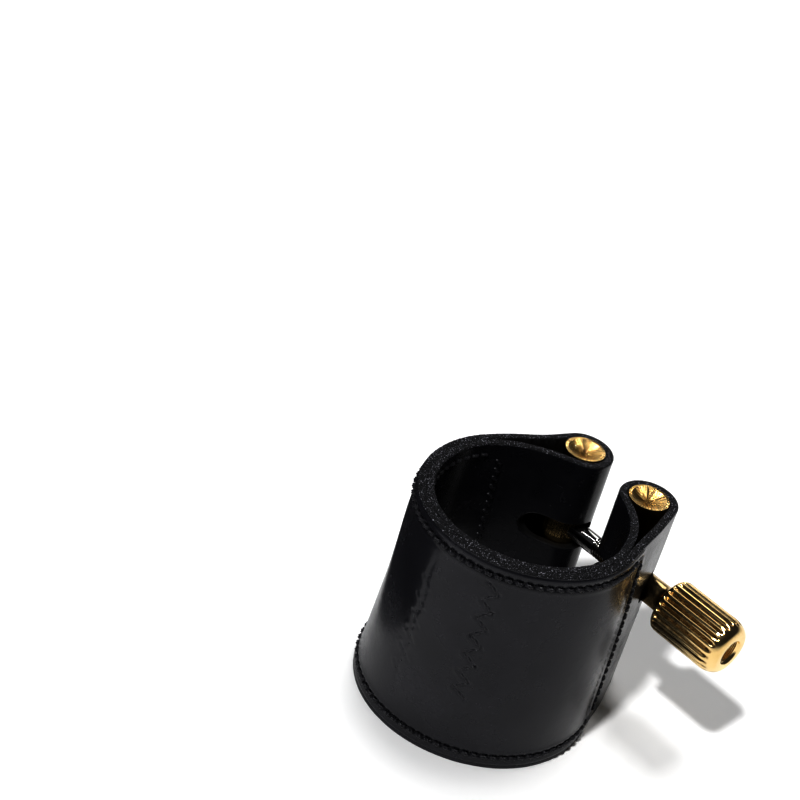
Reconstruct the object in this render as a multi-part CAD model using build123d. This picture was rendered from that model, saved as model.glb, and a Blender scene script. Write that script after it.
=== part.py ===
from build123d import *
import os
from math import acos, atan2, cos, degrees, hypot, radians, sin

# Saxophone ligature: a tapered two-layer leather band closed by one screw.
# Millimetres. +Z runs up the bore axis towards the mouthpiece tip, +X runs along
# the screw towards the thumb nut, +Y points from the bore to the gap. The origin
# is on the bore axis, level with the screw. Far means -X and near means +X.

# Band
BAND_BOTTOM = -20.3  # lower rim, below the screw axis
BAND_TOP = 13.2  # upper rim, above the screw axis
BORE_R_BOTTOM = 15.4  # inner radius at the lower rim
BORE_R_TOP = 13.6  # inner radius at the upper rim
LAND_LENGTH = 4.0  # the bore runs parallel over this length, level with the screw
LAND_RELIEF = 0.06  # the land is cut this far below the bore at its lower end
LEATHER = 1.2  # thickness of one leather layer
BACK_HALF_ANGLE = 28.0  # from the middle of the back to each flex line
REED_PANEL_ANGLE = 34.0  # width of the reed panel, from the near flex line
FLEX_SPLIT = 0.15  # width of the split at each flex line
LOFT_STEPS = 2  # rises that a looped layer is lofted in, so that its loops stay round

# Barrels, held in the looped ends of the strap
BARREL_R = 3.0
BARREL_SPACING = 12.5  # between the two barrel axes, band released
BARREL_Y = 18.2  # from the bore axis to the line of the barrels
BARREL_LOOP_GAP = 0.1  # radial clearance between barrel and leather
BARREL_INSET = 0.35  # barrel ends lie below the leather rims
DISH_R = 2.55  # dished barrel end
DISH_DEPTH = 0.8
DISH_TIP_R = 0.35

# Screw, washer and thumb nut
SCREW_R = 1.5  # M3 stud
SCREW_PASS_GAP = 0.15  # radial clearance in the near barrel
SCREW_ANCHOR = 2.2  # stud depth past the far barrel's axis
SCREW_LENGTH = 29.5
THREAD_GAP = 0.03  # radial clearance in the nut and washer
SEAT_DEPTH = 0.45  # flat for the washer on the near barrel
SEAT_GAP = 0.2  # radial clearance round the washer
WASHER_R = 2.1
WASHER_THICK = 0.4
WASHER_PLAY = 0.03  # axial play on each side of the washer
NECK_R = 2.05
NECK_LENGTH = 5.9
NECK_FLARE = 1.6
KNOB_R = 4.2
KNOB_LENGTH = 11.4
KNOB_BACK_CHAMFER = 0.7
KNOB_DOME = 2.4
KNOB_END_R = 2.5
NUT_END_HOLE_R = 1.95
NUT_END_HOLE_DEPTH = 3.2
FLUTES = 24
FLUTE_R = 0.42

# Windows through the leather for the screw and the nut's neck
WINDOW_GAP = 0.25  # above and below the neck
WINDOW_SWEEP = 0.45  # extra half width where the arm turns round the neck
WINDOW_REACH = 2.8  # how far the slot runs past the barrel axis, away from the gap

# Stitching
STITCH_INSET = 1.7  # edge row, from the rim
STITCH_HIGH = 0.5
STITCH_PROUD = 0.3
CLOSING_OFFSET = 3.3  # closing row, past the end of the round part
ZIGZAG_INSET = 0.2  # near zigzag seam, from the flex line
ZIGZAG_WIDTH = 2.2
ZIGZAG_PITCH = 3.0
ZIGZAG_THREAD = 0.25
ZIGZAG_LIFT = 0.08

# Worked out from the sizes above
LOOP_IN = BARREL_R + BARREL_LOOP_GAP
LOOP_OUT = LOOP_IN + LEATHER
BARREL_X = BARREL_SPACING / 2
NEAR_SEAM = -90 + BACK_HALF_ANGLE
FAR_SEAM = -90 - BACK_HALF_ANGLE
REED_SEAM = NEAR_SEAM - REED_PANEL_ANGLE
WINDOW_HALF = NECK_R + WINDOW_GAP
WASHER_X = BARREL_X + BARREL_R - SEAT_DEPTH + WASHER_PLAY
NUT_X = WASHER_X + WASHER_THICK + WASHER_PLAY
KNOB_X = NUT_X + NECK_LENGTH
KNOB_END = KNOB_X + KNOB_LENGTH


def bore_radius(z):
    """Inner radius of the band at height z."""
    share = (z - BAND_BOTTOM) / (BAND_TOP - BAND_BOTTOM)
    return BORE_R_BOTTOM + (BORE_R_TOP - BORE_R_BOTTOM) * share


def outer_radius(z):
    """Outer radius of the band's round part at height z."""
    return bore_radius(z) + 2 * LEATHER


def polar(centre, radius, angle, z):
    """A point at height z, by radius and angle in degrees round a centre."""
    return Vector(
        centre[0] + radius * cos(radians(angle)), centre[1] + radius * sin(radians(angle)), z
    )


def arc(centre, radius, start, end, z):
    """An arc at height z from one angle to another."""
    points = [polar(centre, radius, a, z) for a in (start, (start + end) / 2, end)]
    return Edge.make_three_point_arc(*points)


def closed(edges):
    """Close a run of edges with straight lines where their ends don't meet."""
    joined = []
    for edge, following in zip(edges, edges[1:] + edges[:1]):
        joined.append(edge)
        if (following @ 0 - edge @ 1).length > 1e-6:
            joined.append(Edge.make_line(edge @ 1, following @ 0))
    return Wire(joined)


def between(wire_at, low, high, steps=1):
    """The solid that a wire makes from the low height to the high one."""
    heights = [low + (high - low) * step / steps for step in range(steps + 1)]
    return Solid.make_loft([wire_at(z) for z in heights], ruled=True)


BORE = (0, 0)
BARREL = (BARREL_X, BARREL_Y)
ARM_START = NEAR_SEAM + degrees(FLEX_SPLIT / bore_radius(BAND_TOP))


def arm_end(z):
    """Angle at which the arm leaves the round part, straight for the loop."""
    reach = hypot(*BARREL)
    return degrees(atan2(BARREL_Y, BARREL_X)) - degrees(acos((outer_radius(z) - LOOP_OUT) / reach))


def return_arc(z):
    """Centre and radius of the inner layer's arc, from the round part to the loop."""
    angle = arm_end(z)
    start = polar(BORE, bore_radius(z), angle, 0)
    away = (start.X - BARREL_X, start.Y - BARREL_Y)
    along = away[0] * cos(radians(angle)) + away[1] * sin(radians(angle))
    radius = (away[0] ** 2 + away[1] ** 2 - LOOP_OUT**2) / (2 * (LOOP_OUT + along))
    centre = polar((start.X, start.Y), -radius, angle, 0)
    return (centre.X, centre.Y), radius


def loop_end(z):
    """Direction from the return arc's centre to the barrel, where the wrap ends."""
    centre, _ = return_arc(z)
    return degrees(atan2(BARREL_Y - centre[1], BARREL_X - centre[0]))


def ring_wire(start, end, inner, outer):
    """Outline of a piece of the round part, by its two offsets from the bore."""

    def wire(z):
        radius = bore_radius(z)
        return closed(
            [arc(BORE, radius + outer, start, end, z), arc(BORE, radius + inner, end, start, z)]
        )

    return wire


def strap_wire(z):
    """Outer layer of the near arm, with its wrap round the barrel."""
    leave, wrap = arm_end(z), loop_end(z) + 180
    outer = outer_radius(z)
    return closed(
        [
            arc(BORE, outer, ARM_START, leave, z),
            arc(BARREL, LOOP_OUT, leave, wrap, z),
            arc(BARREL, LOOP_IN, wrap, leave, z),
            arc(BORE, outer - LEATHER, leave, ARM_START, z),
        ]
    )


def return_wire(z):
    """Inner layer of the near arm, the end of the strap brought back inside."""
    leave, touch = arm_end(z), loop_end(z)
    centre, radius = return_arc(z)
    bore = bore_radius(z)
    return closed(
        [
            arc(BORE, bore, ARM_START, leave, z),
            arc(centre, radius, leave, touch, z),
            arc(centre, radius + LEATHER, touch, leave, z),
            arc(BORE, bore + LEATHER, leave, ARM_START, z),
        ]
    )


def edge_row_wire(z):
    """Edge stitching on the near arm's round part."""
    return ring_wire(ARM_START, arm_end(z), 2 * LEATHER, 2 * LEATHER + STITCH_PROUD)(z)


def closing_row_wire(z):
    """The vertical row that closes the loop, on the near arm's straight part."""
    angle = arm_end(z)
    out = Vector(cos(radians(angle)), sin(radians(angle)), 0)
    along = Vector(-out.Y, out.X, 0)
    base = polar(BORE, outer_radius(z), angle, z) + along * CLOSING_OFFSET
    corners = [base, base + out * STITCH_PROUD]
    corners += [corner + along * STITCH_HIGH for corner in reversed(corners)]
    return Wire.make_polygon(corners, close=True)


def stadium(centre_from, centre_to, radius, plane, depth):
    """A slot with round ends, cut through along the plane's normal."""
    middle = (Vector(*centre_from) + Vector(*centre_to)) / 2
    span = (Vector(*centre_to) - Vector(*centre_from)).length
    profile = plane * Pos(middle.X, middle.Y) * SlotCenterToCenter(span, 2 * radius)
    return extrude(profile, depth)


def loop_window():
    """The slot in a loop's inner and gap sides that the screw moves in."""
    across = Plane(origin=(0, BARREL_Y - 2, 0), x_dir=(1, 0, 0), z_dir=(0, -1, 0))
    bore_side = stadium(
        (0, 0), (BARREL_X + WINDOW_REACH - WINDOW_HALF, 0), WINDOW_HALF, across, BARREL_Y / 2
    )
    along = Plane(origin=(BARREL_X, 0, 0), x_dir=(0, 1, 0), z_dir=(-1, 0, 0))
    gap_side = stadium(
        (BARREL_Y - LOOP_OUT, 0), (BARREL_Y, 0), WINDOW_HALF, along, BARREL_X
    )
    return bore_side + gap_side


def neck_window():
    """The slot in the near loop's outer side that the nut's neck passes through."""
    outward = Plane(origin=(BARREL_X, 0, 0), x_dir=(0, 1, 0), z_dir=(1, 0, 0))
    ends = ((BARREL_Y - WINDOW_SWEEP, 0), (BARREL_Y + WINDOW_SWEEP, 0))
    return stadium(*ends, WINDOW_HALF, outward, LOOP_OUT * 2)


def mirrored(shape):
    """The same piece on the far side."""
    return mirror(shape, Plane.YZ)


def bore_land():
    """The cylinder that makes the bore parallel, level with the screw."""
    return Cylinder(bore_radius(-LAND_LENGTH / 2) + LAND_RELIEF, LAND_LENGTH)


def zigzag(seam, inset):
    """Short slanted threads up the outside of the back, the inset to the far side of a seam."""
    low = BAND_BOTTOM + 2 * STITCH_INSET
    high = BAND_TOP - 2 * STITCH_INSET
    turns = int((high - low) / ZIGZAG_PITCH)
    slant = degrees(atan2(ZIGZAG_PITCH / 2, ZIGZAG_WIDTH))
    length = hypot(ZIGZAG_PITCH / 2, ZIGZAG_WIDTH) - 2 * ZIGZAG_THREAD
    bars = []
    for step in range(2 * turns):
        z = low + (step + 0.5) * ZIGZAG_PITCH / 2
        radius = outer_radius(z) + ZIGZAG_LIFT + ZIGZAG_THREAD / 2
        lean = slant if step % 2 == 0 else -slant
        angle = seam - degrees(inset / radius)
        place = Rot(0, 0, angle) * Pos(radius, 0, z) * Rot(lean, 0, 0)
        bars.append(place * Box(ZIGZAG_THREAD, length, ZIGZAG_THREAD))
    return Compound(children=bars)


def barrel(x):
    """A turned brass rod with dished ends."""
    low, high = BAND_BOTTOM + BARREL_INSET, BAND_TOP - BARREL_INSET
    body = Pos(x, BARREL_Y, (low + high) / 2) * Cylinder(BARREL_R, high - low)
    dish = Cone(DISH_TIP_R, DISH_R, DISH_DEPTH)
    top = Pos(x, BARREL_Y, high - DISH_DEPTH / 2) * dish
    bottom = Pos(x, BARREL_Y, low + DISH_DEPTH / 2) * Rot(180, 0, 0) * dish
    return body - top - bottom


def along_x(start, end, radius):
    """A cylinder on the screw axis."""
    return Pos((start + end) / 2, BARREL_Y, 0) * Rot(0, 90, 0) * Cylinder(radius, end - start)


def far_barrel():
    """The barrel that the stud is fixed in."""
    return barrel(-BARREL_X) - along_x(-BARREL_X - SCREW_ANCHOR, 0, SCREW_R)


def near_barrel():
    """The barrel that slides on the stud, with a flat for the washer."""
    through = along_x(0, 2 * BARREL_X, SCREW_R + SCREW_PASS_GAP)
    seat = along_x(BARREL_X + BARREL_R - SEAT_DEPTH, 2 * BARREL_X, WASHER_R + SEAT_GAP)
    return barrel(BARREL_X) - through - seat


def screw():
    """The stud, with a chamfered end inside the nut."""
    start = -BARREL_X - SCREW_ANCHOR
    stud = along_x(start, start + SCREW_LENGTH, SCREW_R)
    return chamfer(stud.edges().sort_by(Axis.X)[-1], SCREW_R / 4)


def washer():
    """The thin washer between the near barrel and the nut."""
    return along_x(WASHER_X, WASHER_X + WASHER_THICK, WASHER_R) - along_x(
        WASHER_X, WASHER_X + WASHER_THICK, SCREW_R + THREAD_GAP
    )


def nut_profile():
    """Half section of the nut, as distance along the axis and radius."""
    flare = KNOB_X - NECK_FLARE
    dome = KNOB_END - KNOB_DOME
    return [
        Line((NUT_X, 0), (NUT_X, NECK_R)),
        Line((NUT_X, NECK_R), (flare, NECK_R)),
        CenterArc((flare, NECK_R + NECK_FLARE), NECK_FLARE, 270, 90),
        Line((KNOB_X, NECK_R + NECK_FLARE), (KNOB_X + KNOB_BACK_CHAMFER, KNOB_R)),
        Line((KNOB_X + KNOB_BACK_CHAMFER, KNOB_R), (dome, KNOB_R)),
        TangentArc((dome, KNOB_R), (KNOB_END, KNOB_END_R), tangent=(1, 0)),
        Line((KNOB_END, KNOB_END_R), (KNOB_END, 0)),
        Line((KNOB_END, 0), (NUT_X, 0)),
    ]


def thumb_nut():
    """The fluted nut, turned on the screw axis."""
    half = make_face(Curve() + nut_profile())
    blank = Pos(0, BARREL_Y, 0) * revolve(half, Axis.X)
    hole = along_x(NUT_X, KNOB_END, SCREW_R + THREAD_GAP)
    end_hole = along_x(KNOB_END - NUT_END_HOLE_DEPTH, KNOB_END, NUT_END_HOLE_R)
    flutes = []
    for index in range(FLUTES):
        turn = Pos(0, BARREL_Y, 0) * Rot(360 * index / FLUTES, 0, 0) * Pos(0, -BARREL_Y, KNOB_R)
        flutes.append(turn * along_x(KNOB_X, KNOB_END, FLUTE_R))
    return blank - hole - end_hole - flutes


def make_parts():
    """Every sub-part, by name."""
    top_row = BAND_TOP - STITCH_INSET - STITCH_HIGH
    bottom_row = BAND_BOTTOM + STITCH_INSET
    full = (BAND_BOTTOM, BAND_TOP)
    back_row = ring_wire(FAR_SEAM, NEAR_SEAM, 2 * LEATHER, 2 * LEATHER + STITCH_PROUD)
    parts = {
        "strap_back": between(ring_wire(FAR_SEAM, NEAR_SEAM, LEATHER, 2 * LEATHER), *full),
        "reed_panel": between(ring_wire(REED_SEAM, NEAR_SEAM, 0, LEATHER), *full) - bore_land(),
        "strap_return_back": between(ring_wire(FAR_SEAM, REED_SEAM, 0, LEATHER), *full) - bore_land(),
        "top_stitching_back": between(back_row, top_row, top_row + STITCH_HIGH),
        "bottom_stitching_back": between(back_row, bottom_row, bottom_row + STITCH_HIGH),
        "zigzag_seam_near": zigzag(NEAR_SEAM, ZIGZAG_INSET + ZIGZAG_WIDTH / 2),
        "zigzag_seam_far": zigzag(REED_SEAM, 0),
    }
    strap = between(strap_wire, *full, LOFT_STEPS) - loop_window()
    lining = between(return_wire, *full, LOFT_STEPS) - loop_window() - bore_land()
    paired = {
        "strap_arm": (strap - neck_window(), strap),
        "strap_return": (lining, lining),
        "top_stitching": (between(edge_row_wire, top_row, top_row + STITCH_HIGH),) * 2,
        "bottom_stitching": (between(edge_row_wire, bottom_row, bottom_row + STITCH_HIGH),) * 2,
        "closing_stitching": (
            between(closing_row_wire, bottom_row, top_row + STITCH_HIGH, LOFT_STEPS),
        )
        * 2,
    }
    for name, (near, far) in paired.items():
        parts[name + "_near"] = near
        parts[name + "_far"] = mirrored(far)
    parts["barrel_near"] = near_barrel()
    parts["barrel_far"] = far_barrel()
    parts["screw"] = screw()
    parts["thrust_washer"] = washer()
    parts["thumb_nut"] = thumb_nut()
    return parts


def main():
    """Write one STEP file for each sub-part."""
    os.makedirs("parts", exist_ok=True)
    for name, shape in make_parts().items():
        export_step(shape, f"parts/{name}.step")


main()
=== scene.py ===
from math import atan2, cos, hypot, pi, radians, sin, tau

import bmesh
import bpy
import numpy as np
from mathutils import Matrix, Vector


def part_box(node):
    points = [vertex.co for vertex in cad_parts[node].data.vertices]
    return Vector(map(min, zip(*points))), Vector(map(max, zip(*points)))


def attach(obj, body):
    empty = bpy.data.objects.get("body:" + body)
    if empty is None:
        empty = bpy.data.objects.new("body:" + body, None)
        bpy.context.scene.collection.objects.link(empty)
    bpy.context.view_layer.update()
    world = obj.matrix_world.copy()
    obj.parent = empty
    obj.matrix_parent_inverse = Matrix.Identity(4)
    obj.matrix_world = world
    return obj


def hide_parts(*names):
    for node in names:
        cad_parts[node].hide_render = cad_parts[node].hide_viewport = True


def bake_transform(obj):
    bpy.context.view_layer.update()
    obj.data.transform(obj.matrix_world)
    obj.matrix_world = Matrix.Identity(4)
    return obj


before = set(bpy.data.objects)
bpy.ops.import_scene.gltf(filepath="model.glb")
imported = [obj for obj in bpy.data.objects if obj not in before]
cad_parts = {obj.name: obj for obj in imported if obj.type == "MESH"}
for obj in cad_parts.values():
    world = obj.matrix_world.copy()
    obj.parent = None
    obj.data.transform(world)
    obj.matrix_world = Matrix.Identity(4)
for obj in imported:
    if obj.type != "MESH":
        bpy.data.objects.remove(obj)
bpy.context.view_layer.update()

# The look of a leather saxophone ligature. Shapes are worked out in millimetres in the
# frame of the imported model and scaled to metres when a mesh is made. Near is the side of
# the thumb nut (+X) and far is the other. A far piece is a near one with X turned round.
MM = 0.001


def box(node):
    """Lowest and highest corner of a node, in millimetres."""
    low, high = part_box(node)
    return np.array(low) / MM, np.array(high) / MM


# ---------------------------------------------------------------- sizes from the frame
BAND_LOW, BAND_HIGH = (corner[2] for corner in box("strap_back"))
LOW_ROW, HIGH_ROW = box("bottom_stitching_back"), box("top_stitching_back")
OUTER_LOW = -box("strap_back")[0][1]
TAPER = (HIGH_ROW[0][1] - LOW_ROW[0][1]) / (HIGH_ROW[0][2] - LOW_ROW[0][2])
BARREL = sum(box("barrel_near"))[:2] / 2
LOOP_OUT = box("strap_arm_near")[1][1] - BARREL[1]
SCREW_LOW, SCREW_HIGH = box("screw")
SCREW_R = (SCREW_HIGH[2] - SCREW_LOW[2]) / 2
NUT_LOW, NUT_HIGH = box("thumb_nut")
LOW_ROW_Z, HIGH_ROW_Z = sum(LOW_ROW)[2] / 2, sum(HIGH_ROW)[2] / 2

# ---------------------------------------------------------------- sizes of the leather work
LEATHER = 1.2
SEAM_NEAR = -62.0  # the flex line beside the reed panel
SEAM_FAR = -96.0  # the other edge of the reed panel
GRAIN_ROUND = 0.34  # rounding of a rim on the grain side
FLESH_ROUND = 0.16
CREASE_DOWN = 0.5  # pressed line below the rim
STITCH_PITCH = 1.5
STITCH_LENGTH = 1.28
THREAD_R = 0.19  # one ply of the two that make the thread
CLOSING_OFFSET = 3.3  # closing row, past the end of the round part
ZIGZAG_WIDTH = 2.2
ZIGZAG_PITCH = 3.0
ZIGZAG_SPAN = {SEAM_NEAR: (-9.5, 11.2), SEAM_FAR: (-11.5, 7.0)}  # heights of each seam
ZIGZAG_DEEP = {SEAM_NEAR: 1.0, SEAM_FAR: 0.25}  # the far seam is hardly pressed in
ZIGZAG_LIFT = {SEAM_NEAR: -0.15, SEAM_FAR: -0.27}
WINDOW_HALF = 2.3
WINDOW_REACH = 2.8  # past the barrel's axis, away from the gap
WINDOW_SWEEP = 0.45
LOOP_DROP = 0.45  # the loops' upper rims stand this much lower
RIM_TORN = 0.09  # roughness of the cut rims, and of the loops' burnished ones
RIM_BURNISHED = 0.02

# How the hand-made band stands out from its true cone: the angle of each lobe in degrees,
# how narrow it is, how far it stands out, the share of the height where it is most, and its
# spread about there. Without those two it is the same all the way up.
LOBES = (
    (-140, 8, -0.32, 0.45, 0.26),
    (-140, 8, 0.26, 0.0, 0.08),
    (-48, 6, -1.3, None, None),
    (-48, 6, -0.5, 0.0, 0.3),
    (20, 16, -0.4, 0.12, 0.25),
)
FAR_LOBE = (140, 14, 0.75)  # this one grows from mid height to the upper rim
WAVE = 0.05  # slow unevenness all round

# Relief of the grain face, beside the rows of stitches
CREASE_DEEP = 0.13
RIDGE_HIGH = 0.1
ROW_DEEP = 0.2
HOLE_DEEP = 0.12
ROW_EDGE_HIGH = 0.06
CLOSING_DEEP = 0.24
ZIGZAG_GROOVE = 0.12
FOLD_DEEP = 0.05

# ---------------------------------------------------------------- sizes of the metal
FLUTES = 24
FLUTE_DEEP = 0.42
NECK_R = 2.05
NECK_LENGTH = 5.9
NECK_FLARE = 1.6
KNOB_BACK_ROUND = 0.75
KNOB_DOME = 2.4
KNOB_END_R = 2.5
END_HOLE_R = 1.95
END_HOLE_DEEP = 3.2
THREAD_GAP = 0.03
THREAD_PITCH = 0.5
THREAD_DEEP = 0.27
THREAD_FROM_LOOP = 1.1  # the thread starts this far into the gap

rng = np.random.default_rng(7)


# ---------------------------------------------------------------- plan of the band
def outer_radius(z):
    return OUTER_LOW - TAPER * (z - BAND_LOW)


def bore_radius(z):
    return outer_radius(z) - 2 * LEATHER


def unit(angle):
    return np.stack([np.cos(angle), np.sin(angle)], -1)


def leave_angle(z):
    """Where the arm leaves the round part, straight for its loop."""
    return np.arctan2(BARREL[1], BARREL[0]) - np.arccos(
        (outer_radius(z) - LOOP_OUT) / hypot(*BARREL)
    )


def return_arc(z):
    """Centre, radius and end of the arc that the inner layer makes to its loop."""
    angle = leave_angle(z)
    start = bore_radius(z)[..., None] * unit(angle)
    away = start - BARREL
    along = (away * unit(angle)).sum(-1)
    radius = ((away**2).sum(-1) - LOOP_OUT**2) / (2 * (LOOP_OUT + along))
    centre = start - radius[..., None] * unit(angle)
    touch = np.arctan2(BARREL[1] - centre[..., 1], BARREL[0] - centre[..., 0])
    return centre, radius, touch


def smooth(value, low, high):
    """0 below low, 1 above high and an even S between."""
    share = np.clip((value - low) / (high - low), 0, 1)
    return share * share * (3 - 2 * share)


def bump_at(value, middle, width):
    return np.exp(-(((value - middle) / width) ** 2))


def body_shift(angle, z):
    """How far the hand-made band stands out from its true cone, by angle in radians."""
    height = (z - BAND_LOW) / (BAND_HIGH - BAND_LOW)
    shift = WAVE * np.sin(3 * angle + 0.17 * z) * np.sin(0.23 * z + 1.3)
    for middle, narrow, amount, most, spread in LOBES:
        lobe = amount * np.cos((angle - radians(middle)) / 2) ** narrow
        shift = shift + (lobe if most is None else lobe * bump_at(height, most, spread))
    middle, narrow, amount = FAR_LOBE
    lobe = amount * np.cos((angle - radians(middle)) / 2) ** narrow
    return shift + lobe * smooth(height, 0.5, 1)


def rim_drop(y, z):
    """The loops' upper rims stand a little lower than the rest of the band's."""
    reach = smooth(y, BARREL[1] - 9, BARREL[1] - 1)
    return LOOP_DROP * reach * smooth(z, 0, BAND_HIGH)


SEGMENTS = ("ring", "straight", "loop", "return", "bore")


def strap_face(segment, share, z, side, outer_start, bore_end):
    """Points of the strap's grain face in plan, and the way into the leather.

    The share of the segment and the height are arrays of one shape. The near side's
    strap is followed from the seam round the outside to the loop and back along the bore.
    """
    leave = leave_angle(z)
    centre, radius, touch = return_arc(z)
    real = leave if side > 0 else pi - leave
    shift = body_shift(real, z)
    if segment == "ring":
        angle = radians(outer_start) + (leave - radians(outer_start)) * share
        shift = body_shift(angle if side > 0 else pi - angle, z)
        return (outer_radius(z) + shift)[..., None] * unit(angle), -unit(angle)
    if segment == "straight":
        start = outer_radius(z)[..., None] * unit(leave)
        end = BARREL + LOOP_OUT * unit(leave)
        keep = shift * (1 - smooth(share, 0, 0.7))
        point = start + (end - start) * share[..., None] + keep[..., None] * unit(leave)
        return point, -unit(leave)
    if segment == "loop":
        angle = leave + (touch + pi - leave) * share
        return BARREL + LOOP_OUT * unit(angle), -unit(angle)
    if segment == "return":
        angle = touch + (leave - touch) * share
        keep = shift * smooth(share, 0.3, 1)
        return centre + (radius + keep)[..., None] * unit(angle), unit(angle)
    angle = leave + (radians(bore_end) - leave) * share
    shift = body_shift(angle if side > 0 else pi - angle, z)
    return (bore_radius(z) + shift)[..., None] * unit(angle), unit(angle)


# ---------------------------------------------------------------- meshes
def new_mesh(name, points, faces, materials, labels=None, sharp=60):
    """An object from points in millimetres. The labels give each face its material."""
    mesh = bpy.data.meshes.new(name)
    mesh.from_pydata((np.asarray(points) * MM).tolist(), [], faces)
    for material in materials:
        mesh.materials.append(material)
    if labels is not None:
        mesh.polygons.foreach_set("material_index", np.asarray(labels, np.int32))
    mesh.polygons.foreach_set("use_smooth", np.ones(len(mesh.polygons), bool))
    mesh.set_sharp_from_angle(angle=radians(sharp))
    mesh.update()
    obj = bpy.data.objects.new(name, mesh)
    bpy.context.scene.collection.objects.link(obj)
    return obj


def outward(obj, sharp, weld=False):
    """Turn every face of a closed mesh outwards, and mark its sharp edges again."""
    mesh = bmesh.new()
    mesh.from_mesh(obj.data)
    if weld:
        bmesh.ops.remove_doubles(mesh, verts=mesh.verts, dist=1e-6)
    bmesh.ops.recalc_face_normals(mesh, faces=mesh.faces)
    mesh.to_mesh(obj.data)
    mesh.free()
    obj.data.set_sharp_from_angle(angle=radians(sharp))


def sheet_faces(rows, columns, close, flip):
    """Quads of a grid of rows by columns. Closed, the last column joins the first."""
    faces = []
    for i in range(rows - 1):
        for j in range(columns if close else columns - 1):
            k = (j + 1) % columns
            quad = (i * columns + j, i * columns + k, (i + 1) * columns + k, (i + 1) * columns + j)
            faces.append(quad[::-1] if flip else quad)
    return faces


def section():
    """The strap's section: heights, depths below the grain face, and a label for each step.

    Labels: 0 grain, 1 upper rim, 2 flesh side, 3 lower rim.
    """
    low, high = BAND_LOW + GRAIN_ROUND, BAND_HIGH - GRAIN_ROUND
    rows = 3.4
    grain = np.concatenate(
        [
            np.linspace(low, low + rows, 22, endpoint=False),
            np.linspace(low + rows, high - rows, 92, endpoint=False),
            np.linspace(high - rows, high, 23),
        ]
    )
    heights, depths, labels = list(grain), [0.0] * len(grain), [0] * (len(grain) - 1)
    for step in range(1, 5):
        turn = step / 4 * pi / 2
        heights.append(high + GRAIN_ROUND * sin(turn))
        depths.append(GRAIN_ROUND * (1 - cos(turn)))
    labels += [0] + [1] * 3
    for depth in np.linspace(GRAIN_ROUND, LEATHER - FLESH_ROUND, 5)[1:]:
        heights.append(BAND_HIGH)
        depths.append(depth)
    heights.append(BAND_HIGH - FLESH_ROUND)
    depths.append(LEATHER)
    labels += [1] * 5
    flesh = np.linspace(BAND_HIGH - FLESH_ROUND, BAND_LOW + FLESH_ROUND, 24)[1:]
    heights += list(flesh)
    depths += [LEATHER] * len(flesh)
    labels += [2] * len(flesh)
    for depth in np.linspace(LEATHER - FLESH_ROUND, GRAIN_ROUND, 5):
        heights.append(BAND_LOW)
        depths.append(depth)
    for step in range(1, 4):
        turn = step / 4 * pi / 2
        heights.append(BAND_LOW + GRAIN_ROUND * (1 - sin(turn)))
        depths.append(GRAIN_ROUND * (1 - sin(turn)))
    labels += [3] * 8 + [0]
    return np.array(heights), np.array(depths), labels


def grain_relief(segment, along, angle, z, side):
    """Height of the grain face over its plain shape: pressed lines, stitch dents, folds."""
    relief = 0.012 * np.sin(0.9 * along + 0.35 * z) * np.sin(0.55 * z - 0.2 * along)
    if segment in ("ring", "straight"):
        reach = 1.0
        if segment == "straight":
            reach = 1 - smooth(along, CLOSING_OFFSET, CLOSING_OFFSET + 1.0)
        hole = (np.abs((along / STITCH_PITCH) % 1 - 0.5) * 2) ** 4
        for rim, row, way in ((BAND_HIGH, HIGH_ROW_Z, 1), (BAND_LOW, LOW_ROW_Z, -1)):
            relief = relief - CREASE_DEEP * reach * bump_at(z, rim - way * CREASE_DOWN, 0.14)
            relief = relief + RIDGE_HIGH * reach * bump_at(z, (rim + row) / 2 + 0.1 * way, 0.42)
            relief = relief - ROW_DEEP * reach * bump_at(z, row, 0.3)
            relief = relief + ROW_EDGE_HIGH * reach * bump_at(z, row - way * 0.75, 0.35)
            relief = relief - HOLE_DEEP * reach * bump_at(z, row, 0.3) * hole
    if segment == "straight":
        tall = smooth(z, LOW_ROW_Z, LOW_ROW_Z + 1.5) * (1 - smooth(z, HIGH_ROW_Z - 1, HIGH_ROW_Z))
        relief = relief - CLOSING_DEEP * tall * bump_at(along, CLOSING_OFFSET, 0.34)
        relief = relief + CLOSING_DEEP / 2 * tall * bump_at(along, CLOSING_OFFSET - 0.9, 0.45)
        relief = relief + CLOSING_DEEP / 3 * tall * bump_at(along, CLOSING_OFFSET + 0.9, 0.5)
    if segment == "return":
        relief = relief * 0.5
    if segment == "ring":
        real = angle if side > 0 else pi - angle
        real = (real + pi) % tau - pi
        for seam, deep in ZIGZAG_DEEP.items():
            u = (real - radians(seam)) * outer_radius(z)
            for (u0, z0), (u1, z1) in zigzag_lines(seam):
                near = (np.abs(u) < 3.5) & (np.abs(z - (z0 + z1) / 2) < 2.5)
                away = line_distance(u[near], z[near], u0, z0, u1, z1)
                relief[near] -= deep * ZIGZAG_GROOVE * bump_at(away, 0, 0.2)
                relief[near] += deep * ZIGZAG_GROOVE * 0.375 * bump_at(away, 0.5, 0.32)
        u = (real - radians(SEAM_FAR)) * outer_radius(z)
        fold = bump_at(u - 0.25 * np.sin(0.8 * z), 0, 0.5)
        relief = relief - FOLD_DEEP * fold * smooth(z, -16, -10) * (1 - smooth(z, 6, 10))
    return relief


def line_distance(u, z, u0, z0, u1, z1):
    """Distance of points from a line between two others."""
    du, dz = u1 - u0, z1 - z0
    share = np.clip(((u - u0) * du + (z - z0) * dz) / (du * du + dz * dz), 0, 1)
    return np.hypot(u - u0 - share * du, z - z0 - share * dz)


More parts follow.
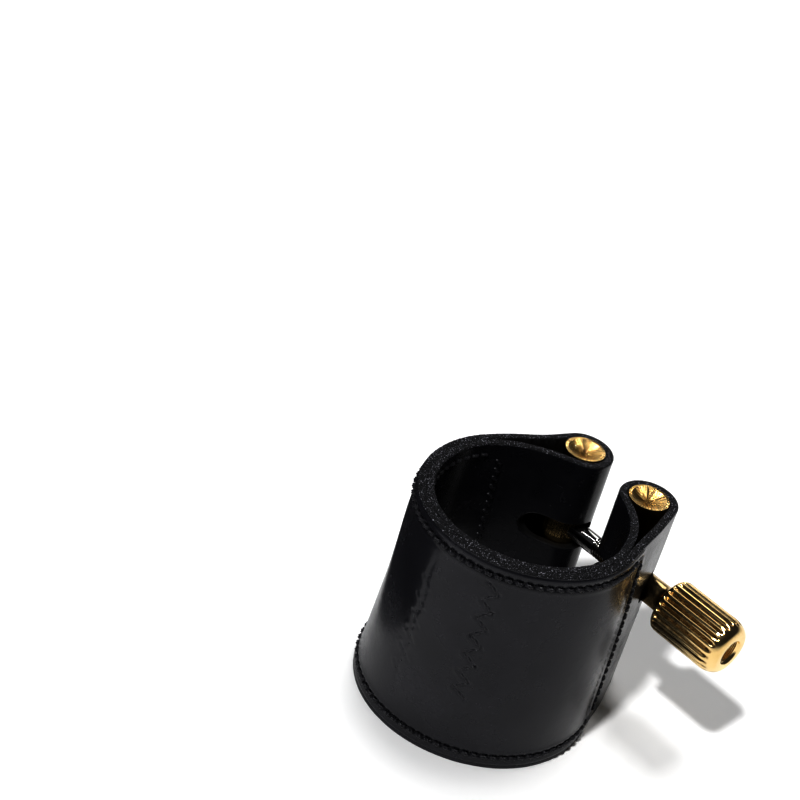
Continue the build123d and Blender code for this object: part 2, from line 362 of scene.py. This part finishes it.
def zigzag_lines(seam):
    """Ends of a zigzag seam's stitches, as distance along the band and height."""
    low, high = ZIGZAG_SPAN[seam]
    count = int((high - low) / ZIGZAG_PITCH * 2)
    half = ZIGZAG_WIDTH / 2
    lines = []
    for step in range(count):
        z0 = low + step * ZIGZAG_PITCH / 2
        lean = 0.14 * sin(2.3 * step + seam)
        u0, u1 = (lean - half, lean + half)[:: 1 if step % 2 else -1]
        lines.append(((u0, z0 + 0.5 * lean), (u1, z0 + ZIGZAG_PITCH / 2)))
    return lines


STEPS = {"ring": 190, "straight": 56, "loop": 64, "return": 44, "bore": 84}


def strap(name, side, outer_start, bore_end):
    """One arm of the strap: a single strip, from the seam round its loop and back inside."""
    heights, depths, labels = section()
    columns = len(heights)
    rows, along_start = [], 0.0
    for segment in SEGMENTS:
        last = segment == SEGMENTS[-1]
        share = np.linspace(0, 1, STEPS[segment], endpoint=last)
        share, z = np.meshgrid(share, heights, indexing="ij")
        face, inward = strap_face(segment, share, z, side, outer_start, bore_end)
        angle = np.arctan2(face[..., 1], face[..., 0])
        if segment == "ring":
            along = outer_radius(z) * (angle - radians(SEAM_FAR if side > 0 else -180 - SEAM_FAR))
        elif segment == "straight":
            along = share * straight_length(z)
        else:
            along = along_start + share * 16
        relief = grain_relief(segment, along, angle, z, side)
        worn = 1 - np.clip(depths / LEATHER, 0, 1)
        depth = depths - relief * worn
        point = face + inward * depth[..., None]
        rim = rim_noise(segment, share.shape, labels)
        drop = rim_drop(point[..., 1], z)
        rows.append(np.concatenate([point, (z + rim - drop)[..., None]], -1))
        along_start += 20
    points = np.concatenate(rows)
    points[..., 0] *= side
    count = len(points)
    faces = sheet_faces(count, columns, True, side > 0)
    faces.append(tuple(range(columns))[:: -side])
    faces.append(tuple((count - 1) * columns + j for j in range(columns))[::side])
    marks = [GRAIN, RAW_EDGE, FLESH, RAW_EDGE]
    slots = [labels[j] for _ in range(count - 1) for j in range(columns)] + [2, 2]
    return new_mesh(name, points.reshape(-1, 3), faces, marks, slots, sharp=50)


def straight_length(z):
    return np.sqrt(hypot(*BARREL) ** 2 - (outer_radius(z) - LOOP_OUT) ** 2)


def rim_noise(segment, shape, labels):
    """The cut rims are a little torn, inwards. The loops' rims are burnished smooth."""
    size = RIM_BURNISHED if segment in ("loop", "straight") else RIM_TORN
    way = np.array([{1: -1, 3: 1}.get(label, 0) for label in labels])
    return np.abs(rng.normal(0, size, shape)) * way


def ring_layer(name, start, end):
    """A piece of the inner layer on the round part, with its grain face to the bore."""
    heights, depths, labels = section()
    columns = len(heights)
    share, z = np.meshgrid(np.linspace(0, 1, 60), heights, indexing="ij")
    angle = radians(start) + radians(end - start) * share
    radius = bore_radius(z) + body_shift(angle, z) + depths
    points = np.concatenate([radius[..., None] * unit(angle), z[..., None]], -1)
    faces = sheet_faces(len(points), columns, True, False)
    faces.append(tuple(range(columns)))
    faces.append(tuple((len(points) - 1) * columns + j for j in range(columns))[::-1])
    marks = [GRAIN, RAW_EDGE, FLESH, RAW_EDGE]
    slots = [labels[j] for _ in range(len(points) - 1) for j in range(columns)] + [2, 2]
    return new_mesh(name, points.reshape(-1, 3), faces, marks, slots, sharp=50)


# ---------------------------------------------------------------- windows for the screw
def stadium(name, start, end, radius, normal, upright, depth):
    """A closed slot shape from start to end, pushed out along the normal."""
    start, end, normal = (np.array(v, float) for v in (start, end, normal))
    along = (end - start) / np.linalg.norm(end - start)
    across = np.array(upright, float)
    outline = []
    for middle, first in ((end, -pi / 2), (start, pi / 2)):
        for turn in np.linspace(first, first + pi, 25):
            outline.append(middle + radius * (cos(turn) * along + sin(turn) * across))
    ring = np.array(outline)
    points = np.concatenate([ring, ring + normal * depth])
    count = len(ring)
    faces = [tuple(range(count))[::-1], tuple(range(count, 2 * count))]
    for i in range(count):
        k = (i + 1) % count
        faces.append((i, k, count + k, count + i))
    cutter = new_mesh(name, points, faces, [])
    outward(cutter, 60)
    return cutter


def cut(obj, cutters):
    """Cut windows through a piece and keep only the result."""
    for cutter in cutters:
        cutter.data.materials.append(FLESH)
        modifier = obj.modifiers.new("window", "BOOLEAN")
        modifier.operation = "DIFFERENCE"
        modifier.solver = "EXACT"
        modifier.material_mode = "TRANSFER"
        modifier.object = cutter
    bpy.context.view_layer.update()
    shape = obj.evaluated_get(bpy.context.evaluated_depsgraph_get())
    mesh = bpy.data.meshes.new_from_object(shape)
    obj.modifiers.clear()
    obj.data = mesh
    for cutter in cutters:
        bpy.data.objects.remove(cutter)


def windows(side):
    """The slots in a loop's bore and gap sides, and in the near loop's outer side."""
    x, y = BARREL
    bore = stadium(
        "window_bore",
        (0, y - 2, 0),
        (side * (x + WINDOW_REACH - WINDOW_HALF), y - 2, 0),
        WINDOW_HALF,
        (0, -1, 0),
        (0, 0, 1),
        y / 2,
    )
    gap = stadium(
        "window_gap",
        (side * x, y - LOOP_OUT, 0),
        (side * x, y, 0),
        WINDOW_HALF,
        (-side, 0, 0),
        (0, 0, 1),
        x,
    )
    if side < 0:
        return [bore, gap]
    neck = stadium(
        "window_neck",
        (x, y - WINDOW_SWEEP, 0),
        (x, y + WINDOW_SWEEP, 0),
        WINDOW_HALF,
        (1, 0, 0),
        (0, 0, 1),
        LOOP_OUT * 2,
    )
    return [bore, gap, neck]


# ---------------------------------------------------------------- stitches
class Threads:
    """Stitches of two-ply thread, gathered into one mesh."""

    def __init__(self):
        self.points = []
        self.faces = []

    def stitch(self, start, end, out, lift=0.12, sink=0.34):
        """A stitch that comes up at start, lies on the leather and goes down at end."""
        start, end, out = (np.array(v, float) for v in (start, end, out))
        out = out / np.linalg.norm(out)
        length = np.linalg.norm(end - start)
        along = (end - start) / length
        across = np.cross(out, along)
        steps, sides = 11, 6
        share = np.linspace(0, 1, steps)
        rise = lift - (lift + sink) * np.abs(2 * share - 1) ** 5
        turns = 1.1 * tau * share + rng.uniform(0, tau)
        for ply in (0, pi):
            turn = turns + ply
            middle = start + np.outer(share * length, along) + np.outer(rise, out)
            middle = middle + 0.11 * (np.outer(np.cos(turn), across) + np.outer(np.sin(turn), out))
            first = len(self.points)
            for point in middle:
                for side in range(sides):
                    angle = tau * side / sides
                    spoke = cos(angle) * across + sin(angle) * out
                    self.points.append(point + THREAD_R * spoke)
            for i in range(steps - 1):
                for j in range(sides):
                    k = (j + 1) % sides
                    a, b = first + i * sides, first + (i + 1) * sides
                    self.faces.append((a + j, b + j, b + k, a + k))
            self.faces.append(tuple(range(first, first + sides)))
            self.faces.append(tuple(range(first + (steps - 1) * sides, first + steps * sides))[::-1])

    def make(self, name, side):
        points = np.array(self.points)
        points[:, 0] *= side
        faces = [face[::-1] for face in self.faces] if side > 0 else self.faces
        return new_mesh(name, points, faces, [THREAD], sharp=80)


def jitter(size=0.05):
    return rng.uniform(-size, size)


def edge_row(threads, z, side, outer_start, bore_end):
    """The row along one rim, outside from the seam to the closing row and inside too."""
    z_array = np.array(z)
    radius = float(outer_radius(z))
    leave = float(leave_angle(z_array))
    origin = radians(SEAM_FAR if side > 0 else -180 - SEAM_FAR)
    ring_length = radius * (leave - radians(outer_start))
    first = radius * (radians(outer_start) - origin)
    count = int((ring_length + CLOSING_OFFSET - 0.6) / STITCH_PITCH)
    for index in range(count):
        middle = first + (index + 0.5) * STITCH_PITCH
        ends = []
        half = STITCH_LENGTH / 2
        for along, tilt in ((middle - half, 0.09), (middle + half, -0.09)):
            point, out = outside_point(along - first, z, side, outer_start)
            ends.append(np.array([*point, z + tilt + jitter(0.03)]))
        threads.stitch(ends[0], ends[1], (*out, 0), lift=0.15)
    inner = bore_radius(z)
    span = leave + 0.12 - radians(bore_end)
    count = int(inner * span / STITCH_PITCH)
    for index in range(count):
        ends = []
        for along, tilt in ((index + 0.08, 0.1), (index + 0.92, -0.1)):
            angle = radians(bore_end) + along * STITCH_PITCH / inner
            real = angle if side > 0 else pi - angle
            at = (inner + float(body_shift(np.array(real), z_array))) * unit(angle)
            ends.append(np.array([*at, z + tilt + jitter(0.03)]))
        middle = unit(radians(bore_end) + (index + 0.5) * STITCH_PITCH / inner)
        threads.stitch(ends[0], ends[1], (*-middle, 0), lift=0.0)


def outside_point(along, z, side, outer_start):
    """A point on the outside of the band, by distance from the outer layer's start."""
    z_array = np.array(float(z))
    radius = float(outer_radius(z))
    leave = float(leave_angle(z_array))
    ring_length = radius * (leave - radians(outer_start))
    if along <= ring_length:
        share = np.array(along / ring_length)
        point, inward = strap_face("ring", share, z_array, side, outer_start, 0)
    else:
        share = np.array((along - ring_length) / float(straight_length(z)))
        point, inward = strap_face("straight", share, z_array, side, outer_start, 0)
    return point, -inward


def closing_row(threads, side):
    """The upright row that closes a loop: neat outside and long slashes inside."""
    low, high = LOW_ROW_Z + 0.4, HIGH_ROW_Z + 0.2
    count = int((high - low) / STITCH_PITCH)
    for index in range(count):
        z0 = low + index * STITCH_PITCH + 0.12
        z1 = z0 + STITCH_LENGTH
        ends = []
        for z, lean in ((z0, -0.1), (z1, 0.1)):
            z_array = np.array(z)
            share = np.array((CLOSING_OFFSET + lean + jitter()) / float(straight_length(z)))
            point, inward = strap_face("straight", share, z_array, side, 0, 0)
            ends.append(np.array([*point, z]))
        threads.stitch(ends[0], ends[1], (*-inward, 0), lift=0.14)
    for index in range(count):
        z0 = low + index * STITCH_PITCH + 0.2
        ends = []
        for z, lean in ((z0, 0.45), (z0 + 1.1, -0.45)):
            z_array = np.array(z)
            _, radius, touch = return_arc(z_array)
            span = float(radius * abs(touch - leave_angle(z_array)))
            share = np.array(1 - (CLOSING_OFFSET * 0.8 + lean + jitter()) / span)
            point, inward = strap_face("return", share, z_array, side, 0, 0)
            ends.append(np.array([*point, z]))
        threads.stitch(ends[0], ends[1], (*-inward, 0), lift=0.05)


def zigzag_row(threads, seam):
    """The zigzag seam that joins the reed panel."""
    for (u0, z0), (u1, z1) in zigzag_lines(seam):
        ends = []
        for u, z in ((u0, z0), (u1, z1)):
            angle = radians(seam) + u / float(outer_radius(z))
            shift = float(body_shift(np.array(angle), np.array(z)))
            ends.append(np.array([*((outer_radius(z) + shift) * unit(angle)), z]))
        middle = (ends[0] + ends[1]) / 2
        gap = (ends[1] - ends[0]) * 0.06
        out = (middle[0], middle[1], 0)
        threads.stitch(ends[0] + gap, ends[1] - gap, out, lift=ZIGZAG_LIFT[seam])


# ---------------------------------------------------------------- turned metal
def turned(name, profile, centre, material, sides, radius_at, sharp):
    """A piece turned about X: a closed profile of (place along X, radius), spun round."""
    along = np.array([p[0] for p in profile])
    radius = np.array([p[1] for p in profile])
    turn = np.linspace(0, tau, sides, endpoint=False)
    spin, far = np.meshgrid(turn, along, indexing="ij")
    size = radius_at(spin, far, np.tile(radius, (sides, 1)))
    across = (centre[1] + size * np.cos(spin), centre[2] + size * np.sin(spin))
    points = np.stack([far, *across], -1)
    count = len(profile)
    faces = []
    for i in range(sides):
        k = (i + 1) % sides
        for j in range(count):
            m = (j + 1) % count
            faces.append((i * count + j, i * count + m, k * count + m, k * count + j))
    obj = new_mesh(name, points.reshape(-1, 3), faces, [material], sharp=sharp)
    outward(obj, sharp, weld=True)
    return obj


def nut_profile(start, end, knob_r):
    """The thumb nut's half section, from its bore over the neck and knob to the end hole."""
    neck_end, flare_r = start + NECK_LENGTH, NECK_R + NECK_FLARE
    flare_start = neck_end - NECK_FLARE
    bore_r = SCREW_R + THREAD_GAP
    profile = [(start, bore_r), (start, NECK_R - 0.12), (start + 0.12, NECK_R)]
    profile.append((flare_start, NECK_R))
    for turn in np.linspace(0, pi / 2, 10, endpoint=False)[1:]:
        profile.append((flare_start + NECK_FLARE * sin(turn), NECK_R + NECK_FLARE * (1 - cos(turn))))
    profile.append((neck_end, flare_r))
    for turn in np.linspace(0.15, pi / 2, 9):
        x = neck_end + KNOB_BACK_ROUND * (1 - cos(turn))
        profile.append((x, flare_r + (knob_r - flare_r) * sin(turn)))
    straight = np.linspace(neck_end + KNOB_BACK_ROUND + 0.2, end - KNOB_DOME, 34)
    profile += [(x, knob_r) for x in straight]
    rim_r = KNOB_END_R + 0.25
    for turn in np.linspace(0.1, pi / 2 - 0.06, 16):
        profile.append((end - KNOB_DOME * (1 - sin(turn)), rim_r + (knob_r - rim_r) * cos(turn)))
    profile += [(end - 0.02, KNOB_END_R + 0.05), (end, KNOB_END_R - 0.2)]
    profile += [(end, END_HOLE_R + 0.12), (end - 0.12, END_HOLE_R)]
    for index, x in enumerate(np.linspace(end - 0.35, end - END_HOLE_DEEP, 24)):
        profile.append((x, END_HOLE_R - (0.16 if index % 2 else 0.0)))
    profile.append((end - END_HOLE_DEEP - 0.05, bore_r))
    return profile


def thumb_nut():
    """The fluted knob with its flared neck and threaded hole."""
    start, end = NUT_LOW[0], NUT_HIGH[0]
    knob_r = (NUT_HIGH[2] - NUT_LOW[2]) / 2 + 0.02
    neck_end = start + NECK_LENGTH

    def fluted(spin, far, size):
        rise = smooth(far, neck_end + 0.05, neck_end + 0.9)
        fall = 1 - smooth(far, end - KNOB_DOME + 0.25, end - 0.95)
        outer = size > NECK_R + NECK_FLARE * 0.8
        return size - FLUTE_DEEP * groove_at(spin) * rise * fall * outer

    centre = (NUT_LOW + NUT_HIGH) / 2
    profile = nut_profile(start, end, knob_r)
    knob = turned("knob", profile, centre, KNOB_GOLD_SHADED, FLUTES * 14, fluted, 70)
    # painted shade: a vertex attribute darkens the colour in the flute grooves and, at 0.45, over the
    # whole neck
    place = np.array([v.co for v in knob.data.vertices]) / MM
    spin = np.arctan2(place[:, 2] - centre[2], place[:, 1] - centre[1])
    reach = np.hypot(place[:, 2] - centre[2], place[:, 1] - centre[1])
    fluted_part = (place[:, 0] > neck_end + 0.4) & (place[:, 0] < end - 1.1)
    groove_shade = groove_at(spin) * fluted_part * (reach > END_HOLE_R + 0.3)
    neck = 0.45 * (place[:, 0] < neck_end)
    painted_shade = knob.data.attributes.new("painted_shade", "FLOAT", "POINT")
    painted_shade.data.foreach_set("value", np.maximum(groove_shade, neck).astype(np.float32))
    return knob


def groove_at(spin):
    """1 in the middle of a flute and 0 on the land beside it."""
    return (0.5 + 0.5 * np.cos(FLUTES * spin)) ** 2.2


def bevel_edges(obj):
    """Fine bevels on a CAD node, so that its edges catch the light."""
    weld = obj.modifiers.new("weld", "WELD")
    weld.merge_threshold = 1e-6
    bevel = obj.modifiers.new("bevel", "BEVEL")
    bevel.width = 0.07 * MM
    bevel.segments = 3
    bevel.limit_method = "ANGLE"
    bevel.angle_limit = radians(35)


def stud():
    """The screw: a plain polished shank, a fine thread from mid gap to the tip."""
    start, end = SCREW_LOW[0], SCREW_HIGH[0]
    centre = (SCREW_LOW + SCREW_HIGH) / 2
    thread_start = BARREL[0] - LOOP_OUT - THREAD_FROM_LOOP
    plain = np.linspace(start, thread_start, 24, endpoint=False)
    xs = np.concatenate([plain, np.arange(thread_start, end - 0.4, THREAD_PITCH / 8)])
    sides = 64
    turn = np.linspace(0, tau, sides, endpoint=False)
    far, spin = np.meshgrid(xs, turn, indexing="ij")
    phase = (far / THREAD_PITCH - spin / tau) % 1
    tooth = np.clip(np.abs(phase - 0.5) * 2 * 1.25 - 0.12, 0, 1)
    cut_in = smooth(far, thread_start, thread_start + 0.6)
    radius = SCREW_R - 0.005 - THREAD_DEEP * tooth * cut_in
    rings = [np.stack([far, centre[1] + radius * np.cos(spin), radius * np.sin(spin)], -1)]
    tip = SCREW_R - 0.4
    for x, r in ((end - 0.25, tip + 0.15), (end, tip)):
        ring = [np.full(sides, x), centre[1] + r * np.cos(turn), r * np.sin(turn)]
        rings.append(np.stack(ring, -1)[None])
    points = np.concatenate(rings)
    count = len(points)
    faces = sheet_faces(count, sides, True, False)
    faces.append(tuple(range(sides)))
    faces.append(tuple((count - 1) * sides + j for j in range(sides))[::-1])
    obj = new_mesh("stud", points.reshape(-1, 3), faces, [STEEL], sharp=45)
    outward(obj, 45)
    return obj


# ---------------------------------------------------------------- materials
class Nodes:
    """Short forms for building a node material."""

    def __init__(self, name):
        self.material = bpy.data.materials.new(name)
        self.material.use_nodes = True
        self.tree = self.material.node_tree
        self.shader = self.tree.nodes["Principled BSDF"]
        self.place = self.tree.nodes.new("ShaderNodeTexCoord").outputs["Object"]

    def add(self, kind, links=None, **settings):
        node = self.tree.nodes.new(kind)
        for key, value in settings.items():
            setattr(node, key, value)
        for key, value in (links or {}).items():
            if isinstance(value, bpy.types.NodeSocket):
                self.tree.links.new(value, node.inputs[key])
            else:
                node.inputs[key].default_value = value
        return node

    def noise(self, scale, detail=3.0, rough=0.55, place=None):
        links = {"Vector": place or self.place, "Scale": scale, "Detail": detail, "Roughness": rough}
        return self.add("ShaderNodeTexNoise", links).outputs["Fac"]

    def ramp(self, value, stops):
        node = self.add("ShaderNodeValToRGB", {"Fac": value})
        marks = node.color_ramp.elements
        marks[0].position, marks[0].color = stops[0][0], (*stops[0][1], 1)
        marks[1].position, marks[1].color = stops[-1][0], (*stops[-1][1], 1)
        for position, colour in stops[1:-1]:
            mark = marks.new(position)
            mark.color = (*colour, 1)
        return node.outputs["Color"]

    def spread(self, value, low, high):
        """Map 0.3..0.7, where noise mostly lies, to low..high."""
        links = {"Value": value, "From Min": 0.3, "From Max": 0.7, "To Min": low, "To Max": high}
        return self.add("ShaderNodeMapRange", links).outputs["Result"]

    def maths(self, operation, a, b):
        node = self.add("ShaderNodeMath", {0: a, 1: b}, operation=operation)
        return node.outputs["Value"]

    def bump(self, height, distance, strength=1.0, under=None):
        links = {"Height": height, "Distance": distance, "Strength": strength}
        if under is not None:
            links["Normal"] = under
        return self.add("ShaderNodeBump", links).outputs["Normal"]

    def set(self, **sockets):
        for key, value in sockets.items():
            socket = self.shader.inputs[key.replace("_", " ")]
            if isinstance(value, bpy.types.NodeSocket):
                self.tree.links.new(value, socket)
            else:
                socket.default_value = value
        return self.material


def smooth_leather():
    """Finished black calf: a fine pebble, pores and slow changes of gloss."""
    n = Nodes("smooth_leather")
    pebble = n.add(
        "ShaderNodeTexVoronoi", {"Vector": n.place, "Scale": 2600.0}, feature="SMOOTH_F1"
    ).outputs["Distance"]
    fine = n.noise(7000.0, 2.0)
    slow = n.noise(140.0, 3.0)
    relief = n.bump(n.noise(450.0, 3.0), 0.00004, 0.6)
    relief = n.bump(pebble, 0.000014, 0.55, relief)
    relief = n.bump(fine, 0.000006, 0.5, relief)
    colour = n.ramp(slow, [(0.3, (0.013, 0.013, 0.017)), (0.7, (0.021, 0.021, 0.027))])
    gloss = n.maths("ADD", n.spread(slow, 0.19, 0.28), n.spread(n.noise(900.0, 4.0), -0.02, 0.03))
    return n.set(Base_Color=colour, Roughness=gloss, Normal=relief, Specular_IOR_Level=0.55)


def flesh_leather():
    """The back of the leather and the cut walls of its windows."""
    n = Nodes("flesh_leather")
    nap = n.noise(4200.0, 5.0, 0.7)
    colour = n.ramp(nap, [(0.35, (0.0015, 0.0015, 0.002)), (0.75, (0.006, 0.0058, 0.006))])
    relief = n.bump(nap, 0.00006, 0.8)
    return n.set(Base_Color=colour, Roughness=n.spread(nap, 0.85, 0.7), Normal=relief)


def raw_edge():
    """The rims, cut and inked, with torn fibres whose glints are painted highlights."""
    n = Nodes("raw_edge")
    torn = n.noise(3000.0, 6.0, 0.75)
    glint_noise = n.noise(5200.0, 2.0, 0.6)
    base = n.ramp(torn, [(0.35, (0.004, 0.004, 0.005)), (0.7, (0.016, 0.016, 0.019))])
    # painted highlight: bright flecks added to the colour where torn fibres would catch the light
    painted_glints = n.ramp(glint_noise, [(0.6, (0.0, 0.0, 0.0)), (0.7, (0.45, 0.45, 0.5))])
    mix = n.add("ShaderNodeMix", {6: base, 7: painted_glints, 0: 1.0}, data_type="RGBA", blend_type="ADD")
    relief = n.bump(torn, 0.00012, 0.9)
    rough = n.spread(torn, 0.8, 0.55)
    return n.set(
        Base_Color=mix.outputs[2], Roughness=rough, Normal=relief, Specular_IOR_Level=0.35
    )


def waxed_thread():
    n = Nodes("waxed_thread")
    fuzz = n.noise(9000.0, 3.0)
    colour = n.ramp(fuzz, [(0.3, (0.003, 0.003, 0.004)), (0.75, (0.05, 0.05, 0.06))])
    relief = n.bump(fuzz, 0.00002, 0.7)
    return n.set(Base_Color=colour, Roughness=n.spread(fuzz, 0.25, 0.4), Normal=relief)


def polished_gold(name, centre=None, with_painted_shade=False):
    """Gold plate over turned brass. About a centre, fine rays from facing the ends."""
    n = Nodes(name)
    tone = n.noise(160.0, 3.0)
    pale, deep = (0.97, 0.8, 0.49), (0.82, 0.62, 0.31)
    if centre is not None:
        pale, deep = (0.8, 0.6, 0.3), (0.6, 0.42, 0.17)
    colour = n.ramp(tone, [(0.3, deep), (0.7, pale)])
    rough = n.spread(n.noise(1500.0, 4.0), 0.1, 0.2)
    # painted shade: where the attribute is set, the colour goes towards brown and a little rougher
    if with_painted_shade:
        shade_amount = n.add("ShaderNodeAttribute", attribute_name="painted_shade").outputs["Fac"]
        shade_amount = n.maths("MULTIPLY", shade_amount, n.spread(n.noise(1100.0, 4.0), 0.6, 1.0))
        shade_brown = (0.27, 0.15, 0.05, 1)
        mix = n.add("ShaderNodeMix", {6: colour, 7: shade_brown, 0: shade_amount}, data_type="RGBA")
        colour = mix.outputs[2]
        rough = n.maths("ADD", rough, n.maths("MULTIPLY", shade_amount, 0.14))
    relief = n.bump(n.noise(700.0, 3.0), 0.000012, 0.6)
    if centre is not None:
        split = n.add("ShaderNodeSeparateXYZ", {0: n.place}).outputs
        aside = n.maths("SUBTRACT", split["X"], centre[0] * MM)
        ahead = n.maths("SUBTRACT", split["Y"], centre[1] * MM)
        turn = n.maths("ARCTAN2", ahead, aside)
        place = n.add("ShaderNodeCombineXYZ", {"X": turn}).outputs["Vector"]
        rays = n.noise(3.0, 4.0, 0.7, place)
        relief = n.bump(rays, 0.0005, 0.8, relief)
        rough = n.spread(n.noise(1500.0, 4.0), 0.08, 0.16)
    return n.set(Base_Color=colour, Metallic=1.0, Roughness=rough, Normal=relief)


def polished_steel():
    n = Nodes("polished_steel")
    rings = n.add(
        "ShaderNodeTexWave",
        {"Vector": n.place, "Scale": 2600.0, "Distortion": 1.5, "Detail": 2.0},
        bands_direction="X",
    ).outputs["Fac"]
    tone = n.ramp(n.noise(400.0, 3.0), [(0.3, (0.55, 0.55, 0.54)), (0.7, (0.7, 0.69, 0.67))])
    relief = n.bump(rings, 0.000003, 0.4)
    return n.set(Base_Color=tone, Metallic=1.0, Roughness=0.13, Normal=relief)


GRAIN, FLESH, RAW_EDGE = smooth_leather(), flesh_leather(), raw_edge()
THREAD = waxed_thread()
GOLD = polished_gold("gold_plate")
# the knob's gold carries the painted shade of its grooves and neck
KNOB_GOLD_SHADED = polished_gold("knob_gold_shaded", with_painted_shade=True)
STEEL = polished_steel()


def finish_piece(piece, nodes, body=None, arm=None):
    """Hide the CAD nodes that a piece replaces, and hang it on its body's empty or, for an arm, bake
    its place into its mesh.
    """
    if nodes:
        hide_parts(*nodes)
    if arm is None:
        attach(piece, body)
    else:
        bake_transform(piece)


def leather_work():
    near = strap("strap_near", 1, SEAM_FAR, SEAM_NEAR)
    cut(near, windows(1))
    finish_piece(
        near, ["strap_back", "strap_arm_near", "strap_return_near"], arm="near_arm"
    )
    far_start = -180 - SEAM_FAR
    far = strap("strap_far", -1, far_start, far_start)
    cut(far, windows(-1))
    finish_piece(
        far, ["strap_arm_far", "strap_return_far", "strap_return_back"], arm="far_arm"
    )
    panel = ring_layer("reed_panel_leather", SEAM_FAR, SEAM_NEAR)
    finish_piece(panel, ["reed_panel"], body="back")


def stitch_work():
    far_start = -180 - SEAM_FAR
    rows = (("top", HIGH_ROW_Z), ("bottom", LOW_ROW_Z))
    sides = (("near", 1, SEAM_FAR, SEAM_NEAR), ("far", -1, far_start, far_start))
    for row, z in rows:
        for label, side, outer_start, bore_end in sides:
            threads = Threads()
            edge_row(threads, z, side, outer_start, bore_end)
            piece = threads.make(f"{row}_stitches_{label}", side)
            nodes = [f"{row}_stitching_{label}"]
            if side > 0:
                nodes.append(f"{row}_stitching_back")
            finish_piece(piece, nodes, arm=label + "_arm")
    for label, side, _, _ in sides:
        threads = Threads()
        closing_row(threads, side)
        piece = threads.make(f"closing_stitches_{label}", side)
        finish_piece(piece, [f"closing_stitching_{label}"], body=label + "_arm")
    for label, seam in (("near", SEAM_NEAR), ("far", SEAM_FAR)):
        threads = Threads()
        zigzag_row(threads, seam)
        piece = threads.make(f"zigzag_stitches_{label}", 1)
        finish_piece(piece, [f"zigzag_seam_{label}"], body="back")


def metal_work():
    finish_piece(thumb_nut(), ["thumb_nut"], body="nut")
    finish_piece(stud(), ["screw"], body="far_pivot")
    for node in ("barrel_near", "barrel_far", "thrust_washer"):
        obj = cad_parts[node]
        gold = GOLD
        if node.startswith("barrel"):
            bevel_edges(obj)
            gold = polished_gold(node + "_gold", sum(box(node)) / 2)
        obj.data.materials.clear()
        obj.data.materials.append(gold)


leather_work()
stitch_work()
metal_work()


# ---------------------------------------------------------------- studio
# Each lamp's name, place in metres, size and power. All face the origin.
LAMPS = (
    ("key", (0.1, -1.17, 2.0), 0.15, 46.0),
    ("overhead", (-0.05, 0.3, 1.65), 0.36, 10.5),
    ("window", (-1.03, 0.86, 1.33), 1.2, 9.0),
)
CONTRAST = 0.6  # gamma of the view


def studio():
    floor_mesh = bpy.data.meshes.new("floor")
    half, level = 3.0, BAND_LOW * MM
    corners = [(-half, -half, level), (half, -half, level), (half, half, level), (-half, half, level)]
    floor_mesh.from_pydata(corners, [], [(0, 1, 2, 3)])
    floor = bpy.data.objects.new("floor", floor_mesh)
    bpy.context.scene.collection.objects.link(floor)
    paper = Nodes("paper")
    tone = paper.ramp(paper.noise(8.0, 2.0), [(0.3, (0.86, 0.86, 0.86)), (0.7, (0.89, 0.89, 0.89))])
    floor.data.materials.append(paper.set(Base_Color=tone, Roughness=0.7))

    # a dark card to the left, out of the camera's sight, that only the leather reflects
    card_mesh = bpy.data.meshes.new("card")
    foot = [(-0.034, 0.012), (-0.019, -0.034)]
    corners = [(*foot[0], level), (*foot[1], level), (*foot[1], 0.075), (*foot[0], 0.075)]
    card_mesh.from_pydata(corners, [], [(0, 1, 2, 3)])
    card = bpy.data.objects.new("card", card_mesh)
    card.visible_camera = card.visible_shadow = card.visible_diffuse = False
    bpy.context.scene.collection.objects.link(card)
    black = Nodes("black_card")
    tone = black.ramp(black.noise(300.0), [(0.3, (0.09, 0.09, 0.1)), (0.7, (0.12, 0.12, 0.13))])
    card_mesh.materials.append(black.set(Base_Color=tone, Roughness=0.8))

    world = bpy.data.worlds.new("studio")
    bpy.context.scene.world = world
    world.use_nodes = True
    tree = world.node_tree
    sky = tree.nodes["Background"]
    sky.inputs["Color"].default_value = (1, 1, 1, 1)
    # pale at the horizon and dim above, so that the leather stays dark
    way = tree.nodes.new("ShaderNodeTexCoord").outputs["Generated"]
    split = tree.nodes.new("ShaderNodeSeparateXYZ")
    fade = tree.nodes.new("ShaderNodeMapRange")
    fade.interpolation_type = "SMOOTHSTEP"
    fade.inputs["From Min"].default_value = 0.0
    fade.inputs["From Max"].default_value = 0.4
    fade.inputs["To Min"].default_value = 0.95
    fade.inputs["To Max"].default_value = 0.06
    tree.links.new(way, split.inputs[0])
    tree.links.new(split.outputs["Z"], fade.inputs["Value"])
    tree.links.new(fade.outputs["Result"], sky.inputs["Strength"])
    bpy.context.scene.view_settings.view_transform = "Standard"
    bpy.context.scene.view_settings.gamma = CONTRAST

    for name, place, size, power in LAMPS:
        data = bpy.data.lights.new(name, "AREA")
        data.energy, data.size = power, size
        lamp = bpy.data.objects.new(name, data)
        lamp.location = place
        lamp.rotation_euler = (-Vector(place)).to_track_quat("-Z", "Y").to_euler()
        bpy.context.scene.collection.objects.link(lamp)


def camera():
    """The view: from the front right, looking down, with the camera a little rolled."""
    yaw, pitch, roll = radians(39.65), radians(32.16), radians(14.93)
    forward = Vector((-sin(yaw) * cos(pitch), cos(yaw) * cos(pitch), -sin(pitch)))
    level = Vector((cos(yaw), sin(yaw), 0))
    upright = level.cross(forward)
    right = level * cos(roll) + upright * sin(roll)
    up = upright * cos(roll) - level * sin(roll)
    data = bpy.data.cameras.new("camera")
    data.sensor_width = 36.0
    data.lens = 74.33
    data.dof.use_dof = False
    distance, aside, below = 0.24064, 0.0105, 0.0417
    rim = Vector((0, 0, BAND_LOW * MM))
    obj = bpy.data.objects.new("camera", data)
    place = rim - forward * distance - right * aside + up * below
    turn = Matrix((right, up, -forward)).transposed().to_4x4()
    obj.matrix_world = Matrix.Translation(place) @ turn
    bpy.context.scene.collection.objects.link(obj)
    bpy.context.scene.camera = obj


studio()
camera()
